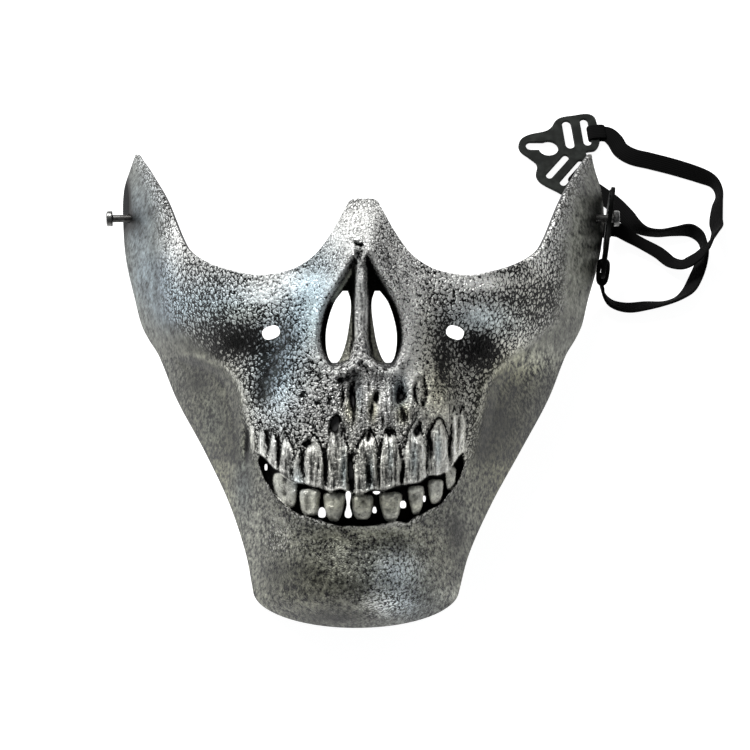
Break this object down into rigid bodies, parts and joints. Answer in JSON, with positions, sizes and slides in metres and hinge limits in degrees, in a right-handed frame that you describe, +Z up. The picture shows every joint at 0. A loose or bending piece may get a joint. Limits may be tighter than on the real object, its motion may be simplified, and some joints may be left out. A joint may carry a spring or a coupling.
{
  "type": "half-face skull mask with strap harness",
  "caption": "Moulded half-face skull mask with nose, teeth and chin, headed studs on the ears, and a loose harness of keyhole plates and flat elastics.",
  "frame": {"origin": "on the table, under the middle of the mask's own box without the harness", "axes": "+X from the mask's right ear to its left, +Y from the chin towards the ears' tips, +Z up from the table"},
  "size_m": [0.2498, 0.2225, 0.103],
  "materials": {
    "silver_washed_shell": "silver paint over pebbled plastic, with a black wash in the hollows",
    "stud_metal": "satin grey",
    "black_plate": "moulded, semi-matt",
    "black_elastic": "woven flat elastic"
  },
  "bodies": {
    "root": {"mask_shell": "silver_washed_shell", "strap_post_left": "stud_metal", "strap_post_right": "stud_metal", "strap_plate_free": "black_plate", "strap_plate_hooked": "black_plate", "strap_upper": "black_elastic", "strap_lower": "black_elastic"}
  },
  "joints": []
}
